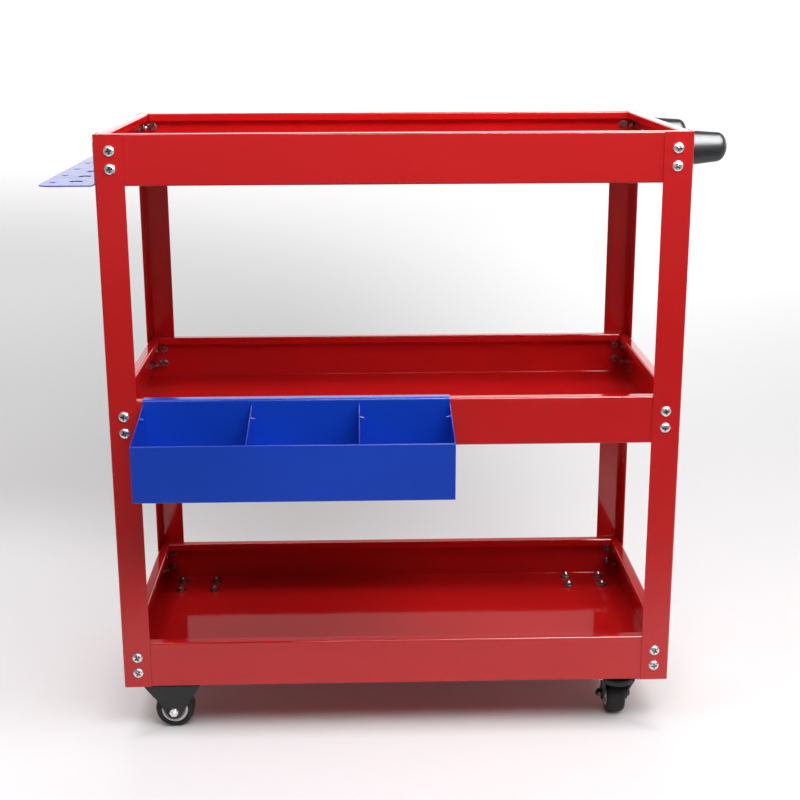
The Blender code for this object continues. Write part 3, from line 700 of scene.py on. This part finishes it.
def bracket_mesh(node, sign):
    """A moulded bracket: a flattened cone with a round nose and a socket for the bar's end."""
    low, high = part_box(node)
    middle = (low + high) / 2
    base = (high.z - low.z) / 2
    length = high.x - low.x
    nose = [(NOSE_HALF * math.sin(a), length - NOSE_LENGTH + NOSE_LENGTH * math.cos(a))
            for a in (i * math.pi / 2 / 14 for i in range(15))]
    foot = [(base - 0.2 * MM, 1.6 * MM), (base, 0.9 * MM), (base, 0.4 * MM), (base - 0.5 * MM, 0), (0, 0)]
    mesh = turned(node, nose + foot, 72, smooth=50)
    squeeze = (high.y - low.y) / (high.z - low.z)
    lean = Matrix.Identity(4)
    lean[2][0] = BRACKET_LIFT / length
    mesh.transform(Matrix.Translation((low.x, middle.y, middle.z)) @ lean
                   @ Matrix.Rotation(math.pi / 2, 4, "Y") @ Matrix.Diagonal((1, squeeze, 1, 1)))
    body = loose(node, mesh)
    bar_low, bar_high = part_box("handle_bar")
    tool = loose("socket", turned("socket", [(0, 0), (SOCKET_RADIUS, 0), (SOCKET_RADIUS, SOCKET_DEPTH),
                                             (0, SOCKET_DEPTH)], 48))
    start = bar_low.y - SOCKET_GAP if sign < 0 else bar_high.y + SOCKET_GAP
    tool.location = ((bar_low.x + bar_high.x) / 2, start, middle.z)
    tool.rotation_euler = (sign * math.pi / 2, 0, 0)
    boolean(body, tool)
    return baked_mesh(body, 40, [tool])


def bracket_screw():
    """Pan-head screw from inside the tray's end wall into a bracket; z = 0 is the wall's face."""
    shank = turned("shank", [(0, 0)] + thread_profile(0.2 * MM, 9 * MM), 20)
    return plate_screw(joined("bracket_screw", [(pan_head(), Matrix.Identity(4)),
                                                (shank, Matrix.Rotation(math.pi, 4, "X"))]))


def add_handle():
    """Two glossy moulded brackets with their screws, and the steel bar between them."""
    screw = bracket_screw()
    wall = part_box("tray_top")[1].x - SHEET
    for depth, sign in (("front", -1), ("back", 1)):
        node = f"handle_bracket_{depth}"
        low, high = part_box(node)
        middle = (low + high) / 2
        add_piece(f"{node}_moulding", bracket_mesh(node, sign), "black_plastic", FRAME_BODY, (node,))
        add_piece(f"{node}_screw", screw, "zinc", FRAME_BODY, location=(wall, middle.y, middle.z),
                  rotation=aim((-1, 0, 0), 0.4 * sign))
    bar_low, bar_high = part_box("handle_bar")
    radius = (bar_high.x - bar_low.x) / 2
    half = (bar_high.y - bar_low.y) / 2
    ends = 1.2 * MM
    bar = turned("handle_bar", [(0, half), (radius - ends, half), (radius, half - ends),
                                (radius, ends - half), (radius - ends, -half), (0, -half)], 56)
    add_piece("handle_bar_tube", bar, "black_steel", FRAME_BODY, ("handle_bar",),
              (bar_low + bar_high) / 2, aim((0, 1, 0)), BAR_COAT)


# ---------------------------------------------------------------- wheels

AXLE_HEIGHT = 25 * MM
TRAIL = 18 * MM                  # from a swivel's kingpin to its wheel's axle
WHEEL_HALF = 12.5 * MM


def add_wheels():
    """Four tyres on their hubs: the fixed ones turn about Y, the swivels' about X at rest."""
    for kind, prefix in CASTERS:
        low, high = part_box(f"{prefix}_tyre")
        centre = (low + high) / 2
        axis = Vector((0, 1, 0)) if kind == "fixed" else Vector((1, 0, 0))
        radius = (high.z - low.z) / 2
        body = f"{prefix}_wheel"
        add_piece(f"{prefix}_tyre_tread", tyre_mesh(radius, WHEEL_HALF), "tyre_rubber", body,
                  (f"{prefix}_tyre",), centre, aim(axis))
        add_piece(f"{prefix}_hub_moulding", hub_mesh(), "grey_plastic", body,
                  (f"{prefix}_hub",), centre, aim(axis))


def tyre_mesh(radius, half):
    """Tyre with round shoulders, a moulding line round the tread and a step on each side wall."""
    shoulder = 6.0 * MM
    bore = 17.3 * MM
    outer = [(radius, 0.35 * MM), (radius - 0.15 * MM, 0.8 * MM), (radius, 1.3 * MM)]
    for step in range(9):
        angle = step * math.pi / 2 / 8
        outer.append((radius - shoulder + shoulder * math.cos(angle),
                      half - shoulder + shoulder * math.sin(angle)))
    outer += [(radius - shoulder - 0.4 * MM, half - 0.35 * MM), (bore + 0.4 * MM, half - 0.35 * MM),
              (bore, half - 0.8 * MM)]
    mirror = [(r, -z) for r, z in reversed(outer)]
    return turned("tyre", outer + mirror, 96, closed=True, smooth=32)


def hub_mesh():
    """Hub with a raised ring, a dished web with ribs and a long boss round the axle."""
    side = [(17.0, 0), (17.0, 11.6), (16.4, 12.1), (14.2, 12.1), (13.6, 11.5), (12.9, 6.0), (12.2, 5.2),
            (7.4, 5.2), (6.8, 5.8), (6.4, 13.2), (6.0, 13.7), (3.3, 13.7)]
    outline = [(r * MM, z * MM) for r, z in side]
    mirror = [(r, -z) for r, z in reversed(outline[1:])]
    body = turned("hub", outline + mirror, 64, closed=True, smooth=32)
    ribs = []
    for index in range(6):
        for sign in (-1, 1):
            bm = bmesh.new()
            bmesh.ops.create_cube(bm, size=1.0)
            bmesh.ops.scale(bm, verts=bm.verts, vec=(6.6 * MM, 1.4 * MM, 3.6 * MM))
            bmesh.ops.bevel(bm, geom=bm.edges, offset=0.3 * MM, segments=2, affect="EDGES")
            spot = Matrix.Rotation(index * math.pi / 3, 4, "Z") @ Matrix.Translation(
                (9.8 * MM, 0, sign * 6.4 * MM))
            ribs.append((to_mesh("rib", bm), spot))
    return joined("hub", [(body, Matrix.Identity(4))] + ribs, 32)


def add_axles():
    """Domed axle heads with a small dimple, and lock nuts, at both ends of every wheel."""
    for kind, prefix in CASTERS:
        body = FRAME_BODY if kind == "fixed" else f"{prefix}_fork"
        low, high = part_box(f"{prefix}_axle")
        nut_low, nut_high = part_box(f"{prefix}_nut")
        centre = (low + high) / 2
        nut_centre = (nut_low + nut_high) / 2
        along = nut_centre - centre
        along.z = 0
        axis = along.normalized()
        length = abs((high - low).dot(axis))
        head = [(0, 0.35), (1.2, 0.35), (1.6, 0.0), (3.4, 0.25), (4.7, 1.2), (5.4, 2.6), (5.6, 4.0),
                (5.5, 4.4), (2.95, 4.4)]
        profile = [(r * MM, h * MM) for r, h in head] + thread_profile(length - 8 * MM, length)
        mesh = turned("axle_bolt", profile, 40, smooth=35)
        start = centre - axis * length / 2
        plating = ZINC if kind == "fixed" else BLACK_ZINC_AND_RECESS_SHADE
        add_piece(f"{prefix}_axle_bolt", mesh, "zinc", body, (f"{prefix}_axle",), start, aim(axis), plating)
        if kind == "fixed":
            # a washer ring round the head, made near black to paint the shadow round it
            ring = turned("ring", [(5.8 * MM, 2.9 * MM), (7.1 * MM, 2.9 * MM), (7.6 * MM, 3.3 * MM),
                                   (7.6 * MM, 4.4 * MM), (5.8 * MM, 4.4 * MM)], 48, closed=True)
            add_piece(f"{prefix}_axle_ring", ring, "black_steel", body, (), start, aim(axis), RING_SHADOW_BLACK)
        thick = abs((nut_high - nut_low).dot(axis))
        nut = hexagon("axle_nut", 5.9 * MM, thick)
        spot = nut_centre - axis * thick / 2
        add_piece(f"{prefix}_lock_nut", nut, "zinc", body, (f"{prefix}_nut",), spot, aim(axis), plating)


# ---------------------------------------------------------------- caster brackets

CHEEK_SHEET = 2.5 * MM
CHEEK_MIDDLE = 15.75 * MM        # middle of a cheek's sheet, from the wheel's middle
AXLE_HOLE = 3.5 * MM
PLATE_HOLE, PLATE_HOLES_X, PLATE_HOLES_Y = 3.4 * MM, 25 * MM, 17 * MM


def prism(name, outline, start, end):
    """A working object: an outline in XZ, extruded along Y."""
    points = [(x, start, z) for x, z in outline]
    return loose(name, extruded(name, points, (0, end - start, 0)))


def axle_cutter(radius, half, x, z):
    mesh = turned("axle_hole", [(0, -half), (radius, -half), (radius, half), (0, half)], 32)
    tool = loose("axle_hole", mesh)
    tool.location = (x, 0, z)
    tool.rotation_euler = (math.pi / 2, 0, 0)
    return tool


def cheek_outline(half_top, top, shoulder, axle, radius):
    """A cheek's side view: wide at the top, then narrowing to an arc round the axle."""
    x, z = axle
    outline = [(-half_top, top), (half_top, top), (half_top, shoulder)]
    lean = {}
    for side in (1, -1):
        run = Vector((side * half_top - x, shoulder - z))
        lean[side] = math.atan2(run.y, run.x) - side * math.acos(radius / run.length)
    start, stop = lean[1], lean[-1] - 2 * math.pi
    outline += [(x + radius * math.cos(start + (stop - start) * i / 14),
                 z + radius * math.sin(start + (stop - start) * i / 14)) for i in range(15)]
    outline.append((-half_top, shoulder))
    return outline


def base_plate_loops(half_x, half_y):
    """A caster's plate with round corners, then its four bolt holes."""
    corners = [(-half_x, -half_y), (half_x, -half_y), (half_x, half_y), (-half_x, half_y)]
    holes = [circle(PLATE_HOLE, 20, (x, y)) for x in (-PLATE_HOLES_X, PLATE_HOLES_X)
             for y in (-PLATE_HOLES_Y, PLATE_HOLES_Y)]
    return [rounded_outline(corners, (5 * MM,) * 4)] + holes


def fixed_rig_mesh(name):
    """Rigid caster's bracket, pressed from one sheet: a bolted top and two leaning cheeks."""
    low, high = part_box(name)
    top = -CHEEK_SHEET / 2
    half_x, half_y = (high.x - low.x) / 2, (high.y - low.y) / 2
    drop = AXLE_HEIGHT - high.z
    bend = drop + 12 * MM
    wide = half_y - 1.4 * MM
    path = rounded_path([(-CHEEK_MIDDLE, drop - 12 * MM), (-CHEEK_MIDDLE, bend), (-wide, top), (wide, top),
                         (CHEEK_MIDDLE, bend), (CHEEK_MIDDLE, drop - 12 * MM)],
                        (5 * MM, 3.2 * MM, 3.2 * MM, 5 * MM), 6)
    sheet = loose(name, extruded_path(name, path, -half_x, half_x))
    thicken(sheet, CHEEK_SHEET, 0)
    outline = cheek_outline(half_x - 0.3 * MM, MM, -2.9 * MM, (0, drop), 10.5 * MM)
    side_view = prism("side_view", outline, -0.05, 0.05)
    plan_view = loose("plan_view", plate("plan_view", base_plate_loops(half_x, half_y), 0.12, 0.05 * MM))
    hole = axle_cutter(AXLE_HOLE, 0.04, 0, drop)
    boolean(sheet, side_view, "INTERSECT")
    boolean(sheet, plan_view, "INTERSECT")
    boolean(sheet, hole)
    return baked_mesh(sheet, 30, (side_view, plan_view, hole))


def fork_mesh(name):
    """Swivel fork: a pressed crown with a rolled skirt, and two legs that lean in to the wheel."""
    low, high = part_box(name)
    crown = (high.x - low.x) / 2
    skirt = high.z - 8.4 * MM
    sheet = CHEEK_SHEET
    outer = rounded_path([(crown - 6 * MM, high.z), (crown, high.z), (crown, skirt)], 3.4 * MM, 6)
    inner = rounded_path([(crown - sheet, skirt), (crown - sheet, high.z - sheet),
                          (crown - 6 * MM, high.z - sheet)], 1.0 * MM, 3)
    rim = [(crown - 0.5 * MM, skirt - 0.5 * MM), (crown - sheet + 0.5 * MM, skirt - 0.5 * MM)]
    profile = [(5.4 * MM, high.z - 0.6 * MM), (11 * MM, high.z - 0.6 * MM), (12.2 * MM, high.z)]
    profile += [tuple(p) for p in outer] + rim + [tuple(p) for p in inner] + [(5.4 * MM, high.z - sheet)]
    fork = loose(name, turned(name, profile, 72, closed=True))
    tools = []
    legs = cheek_outline(14 * MM, high.z - 2.6 * MM, high.z - 5 * MM, (TRAIL, AXLE_HEIGHT), 9 * MM)
    for side in (-1, 1):
        path = rounded_path([(side * CHEEK_MIDDLE, 10 * MM), (side * CHEEK_MIDDLE, 38 * MM),
                             (side * (CHEEK_MIDDLE + 5 * MM), high.z - 2.6 * MM)], 6 * MM, 6)
        leg = loose("leg", extruded_path("leg", path, -0.03, 0.06))
        thicken(leg, sheet, 0, even=False)
        view = prism("leg_view", legs, -0.05, 0.05)
        hole = axle_cutter(AXLE_HOLE, 0.04, TRAIL, AXLE_HEIGHT)
        boolean(leg, view, "INTERSECT")
        boolean(leg, hole)
        mesh = baked_mesh(leg, tools=(view, hole))
        mesh.transform(Matrix.Rotation(math.pi / 2, 4, "Z"))
        tools.append(loose("leg", mesh))
    for tool in tools:
        boolean(fork, tool, "UNION")
    return baked_mesh(fork, 30, tools)


def add_brackets():
    """Both kinds of caster bracket, and the swivels' plates, ball races and kingpins."""
    for depth in ("front", "back"):
        node = f"fixed_{depth}_rig"
        low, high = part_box(node)
        middle = (low + high) / 2
        rig = add_piece(f"{node}_pressing", fixed_rig_mesh(node), "black_steel", FRAME_BODY, (node,),
                        (middle.x, middle.y, high.z))
        soften(rig, 0.35 * MM)
        prefix = f"swivel_{depth}"
        pin_low, pin_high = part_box(f"{prefix}_kingpin")
        x, y = (pin_low.x + pin_high.x) / 2, (pin_low.y + pin_high.y) / 2
        fork = add_piece(f"{prefix}_fork_pressing", fork_mesh(f"{prefix}_fork"), "black_steel",
                         f"{prefix}_fork", (f"{prefix}_fork",), (x, y, 0))
        soften(fork, 0.3 * MM, 45)
        add_swivel_top(prefix, x, y, pin_low.z, pin_high.z)


def add_swivel_top(prefix, x, y, pin_low, pin_high):
    """A swivel's bolted plate, its ball race with a seam round it, and its riveted kingpin."""
    low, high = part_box(f"{prefix}_plate")
    half_x, half_y = (high.x - low.x) / 2, (high.y - low.y) / 2
    loops = base_plate_loops(half_x, half_y)
    loops.insert(1, circle(5.3 * MM, 32))
    add_piece(f"{prefix}_top_plate", plate(f"{prefix}_plate", loops, high.z - low.z, 0.3 * MM),
              "black_steel", FRAME_BODY, (f"{prefix}_plate",), (x, y, (low.z + high.z) / 2))
    low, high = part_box(f"{prefix}_ball_race")
    outer, tall = (high.x - low.x) / 2, high.z - low.z
    lip = outer - 0.2 * MM
    profile = [(9 * MM, 0), (outer - 1.8 * MM, 0), (outer - 0.5 * MM, 0.5 * MM), (outer, 1.3 * MM),
               (lip, 0.44 * tall), (outer - 1.0 * MM, 0.5 * tall), (lip, 0.56 * tall),
               (outer, tall - 1.3 * MM), (outer - 0.5 * MM, tall - 0.5 * MM), (outer - 1.8 * MM, tall),
               (9 * MM, tall)]
    # the ball race takes the darker zinc: painted shade under the lowest tray
    add_piece(f"{prefix}_ball_race_ring", turned("ball_race", profile, 64, closed=True), "zinc", FRAME_BODY,
              (f"{prefix}_ball_race",), (x, y, low.z), material=SHADED_ZINC)
    pin = [(0, 0), (5.4 * MM, 0.1 * MM), (6.7 * MM, 0.6 * MM), (7.6 * MM, 1.7 * MM), (8 * MM, 2.9 * MM),
           (7.7 * MM, 3.4 * MM), (4.7 * MM, 3.4 * MM)]
    length = pin_high - pin_low
    pin += [(4.7 * MM, length - 0.5 * MM), (4.2 * MM, length), (0, length)]
    # the kingpin takes the darker zinc: painted shade under the lowest tray
    add_piece(f"{prefix}_kingpin_rivet", turned("kingpin", pin, 40), "zinc", FRAME_BODY,
              (f"{prefix}_kingpin",), (x, y, pin_low), material=SHADED_ZINC)


# ---------------------------------------------------------------- stage, light and camera

SOFTBOXES = (                    # name, place, width, height, watts
    ("strip_softbox", (0.34, -1.06, 1.57), 1.10, 0.50, 17.6),
    ("left_softbox", (-0.60, -0.75, 1.60), 0.50, 0.50, 4.5),
    ("right_softbox", (2.00, -0.75, 1.90), 0.50, 0.50, 13.0),
    ("rear_softbox", (0.00, 2.20, 2.60), 1.60, 1.60, 37.0),
    ("sheen_card", (0.75, -0.75, 1.50), 1.20, 1.10, 80.0),
)
LIGHTS_AIM = Vector((0, 0.05, 0.4))
ROOM = {"front": 0.08, "sides": 0.08, "horizon": 1.0, "rear_low": 1.75, "rear_mid": 0.28, "ceiling": 0.12}
FLOOR_RADIUS = 40
PAPER = (0.64, 0.635, 0.64)
PAPER_FAR_FRONT = (0.22, 0.22, 0.22)
PAPER_GLOW = (1.0, 0.985, 0.995, 1)
CART_MIDDLE = Vector((0.005, 0.055))
CAMERA_PLACE = (-0.0335, -1.7886, 0.9044)
CAMERA_YAW, CAMERA_PITCH, CAMERA_ROLL = -0.0266, -0.2675, -0.0033
CAMERA_LENS, CAMERA_SENSOR = 63.6, 36


def floor_shade(nodes, y, side):
    """1 on the open paper, and less in a painted shadow of the cart on the paper behind it."""
    off_middle = nodes.maths("ABSOLUTE", nodes.maths("ADD", side, 0.06))
    behind = nodes.maths("MULTIPLY", nodes.ramp(y, 0.35, 0.65), nodes.ramp(y, 1.6, 5.0, 1.0, 0.0))
    # painted shadow: darker behind the cart, most near its middle
    cart_shadow = nodes.maths("MULTIPLY", behind, nodes.ramp(off_middle, 0.0, 0.24, 0.36, 0.0))
    return nodes.maths("SUBTRACT", 1.0, cart_shadow)


def floor_glow(nodes, x, y, side):
    """How much the paper shines by itself, as painted light: no glow under the cart, which leaves painted
    shade there, a little round it, more far away, and a painted shade band behind it on the left.
    """
    from_middle = [nodes.maths("ABSOLUTE", nodes.maths("SUBTRACT", value, middle))
                   for value, middle in zip((x, y), CART_MIDDLE)]
    # painted shade: the glow is left off over the cart's footprint
    open_floor = nodes.maths("MAXIMUM", nodes.ramp(from_middle[0], 0.28, 0.36),
                             nodes.ramp(from_middle[1], 0.14, 0.20))
    near = nodes.maths("MULTIPLY", nodes.ramp(y, -0.60, -0.40), nodes.ramp(y, -0.22, 0.0, 0.39, 0.31))
    # painted shade: a darker band behind the cart, where a paper sweep would turn up into a wall
    bend = nodes.maths("MULTIPLY", nodes.ramp(y, 0.45, 0.95), nodes.ramp(y, 1.2, 3.2, -0.18, 0.0))
    far_left = nodes.maths("ADD", bend, nodes.ramp(y, 1.5, 7.5, 0.0, 0.48))
    far_right = nodes.ramp(y, 1.0, 4.2, 0.0, 0.52)
    right = nodes.ramp(side, -0.28, 0.28)
    left = nodes.maths("SUBTRACT", 1.0, right)
    far = nodes.maths("ADD", nodes.maths("MULTIPLY", left, far_left),
                      nodes.maths("MULTIPLY", right, far_right))
    far = nodes.maths("ADD", far, nodes.ramp(y, -4.5, -1.6, 0.17, 0.0))
    return nodes.maths("MULTIPLY", open_floor, nodes.maths("ADD", near, far))


def studio_floor():
    """Pale paper: shaded under the cart, with a painted shadow and a painted shade band behind it, and a
    painted glow that is bright far away.
    """
    bm = bmesh.new()
    bmesh.ops.create_circle(bm, cap_ends=True, segments=96, radius=FLOOR_RADIUS)
    floor = loose("studio_floor", to_mesh("studio_floor", bm))
    material, nodes = new_material("studio_paper")
    nodes.shader.inputs["Roughness"].default_value = 0.8
    nodes.shader.inputs["Specular IOR Level"].default_value = 0.1
    nodes.shader.inputs["Emission Color"].default_value = PAPER_GLOW
    x, y, _ = nodes.split()
    side = nodes.maths("DIVIDE", x, nodes.maths("ADD", y, 1.8))
    shade = floor_shade(nodes, y, side)
    # the painted shadow darkens the paper's colour here and its glow below
    paper = nodes.blend(nodes.maths("MULTIPLY", nodes.ramp(y, -0.95, -0.45), shade), PAPER_FAR_FRONT, PAPER)
    nodes.link(paper.outputs["Result"], nodes.shader.inputs["Base Color"])
    nodes.link(nodes.maths("MULTIPLY", floor_glow(nodes, x, y, side), shade),
               nodes.shader.inputs["Emission Strength"])
    floor.data.materials.append(material)


def studio_light():
    """Softboxes round the cart; the sheen card only shows in glossy surfaces."""
    for name, place, width, height, power in SOFTBOXES:
        data = bpy.data.lights.new(name, "AREA")
        data.shape = "RECTANGLE"
        data.size, data.size_y = width, height
        data.energy = power
        light = loose(name, data)
        light.visible_diffuse = name != "sheen_card"
        light.location = place
        light.rotation_mode = "QUATERNION"
        light.rotation_quaternion = (LIGHTS_AIM - Vector(place)).to_track_quat("-Z", "Y")


def studio_room():
    """A room that is dim in front and bright behind, low down."""
    world = bpy.data.worlds.new("studio")
    bpy.context.scene.world = world
    world.use_nodes = True
    nodes = Nodes(world.node_tree, "Background", "Generated")
    x, y, z = nodes.split()
    behind = nodes.ramp(y, -0.1, 0.4)
    low = nodes.ramp(z, 0.40, 0.24)
    tilt = nodes.ramp(x, -0.25, 0.25, 0.6)
    zones = {"sides": nodes.ramp(nodes.maths("ABSOLUTE", x), 0.55, 0.85),
             "horizon": nodes.maths("MULTIPLY", behind, nodes.ramp(z, 0.08, 0.04)),
             "rear_low": nodes.maths("MULTIPLY", nodes.maths("MULTIPLY", behind, low), tilt),
             "rear_mid": nodes.maths("MULTIPLY", behind, nodes.maths("SUBTRACT", 1.0, low)),
             "ceiling": nodes.ramp(z, 0.55, 0.85)}
    total = nodes.maths("ADD", ROOM["front"])
    for zone, mask in zones.items():
        total = nodes.maths("ADD", total, nodes.maths("MULTIPLY", mask, ROOM[zone]))
    nodes.shader.inputs["Color"].default_value = (1, 1, 1, 1)
    nodes.link(total, nodes.shader.inputs["Strength"])


def add_camera():
    """The photographer's place: a little left of the middle, 0.9 m up, looking 15 degrees down."""
    data = bpy.data.cameras.new("camera")
    data.sensor_width = CAMERA_SENSOR
    data.lens = CAMERA_LENS
    camera = loose("camera", data)
    camera.rotation_mode = "QUATERNION"
    camera.location = CAMERA_PLACE
    camera.rotation_quaternion = (Matrix.Rotation(CAMERA_YAW, 3, "Z")
                                  @ Matrix.Rotation(math.pi / 2 + CAMERA_PITCH, 3, "X")
                                  @ Matrix.Rotation(CAMERA_ROLL, 3, "Z")).to_quaternion()
    bpy.context.scene.camera = camera


# ---------------------------------------------------------------- build

add_camera()
studio_floor()
studio_light()
studio_room()
bpy.context.scene.view_settings.view_transform = "Standard"

for tray_name in ("tray_bottom", "tray_middle", "tray_top"):
    add_tray(tray_name)
for depth_name in ("front", "back"):
    for side_name in ("left", "right"):
        add_post(depth_name, side_name)
add_corner_screws()
add_caster_bolts()
add_bin()
add_rack()
add_handle()
add_wheels()
add_axles()
add_brackets()
weigh_normals()
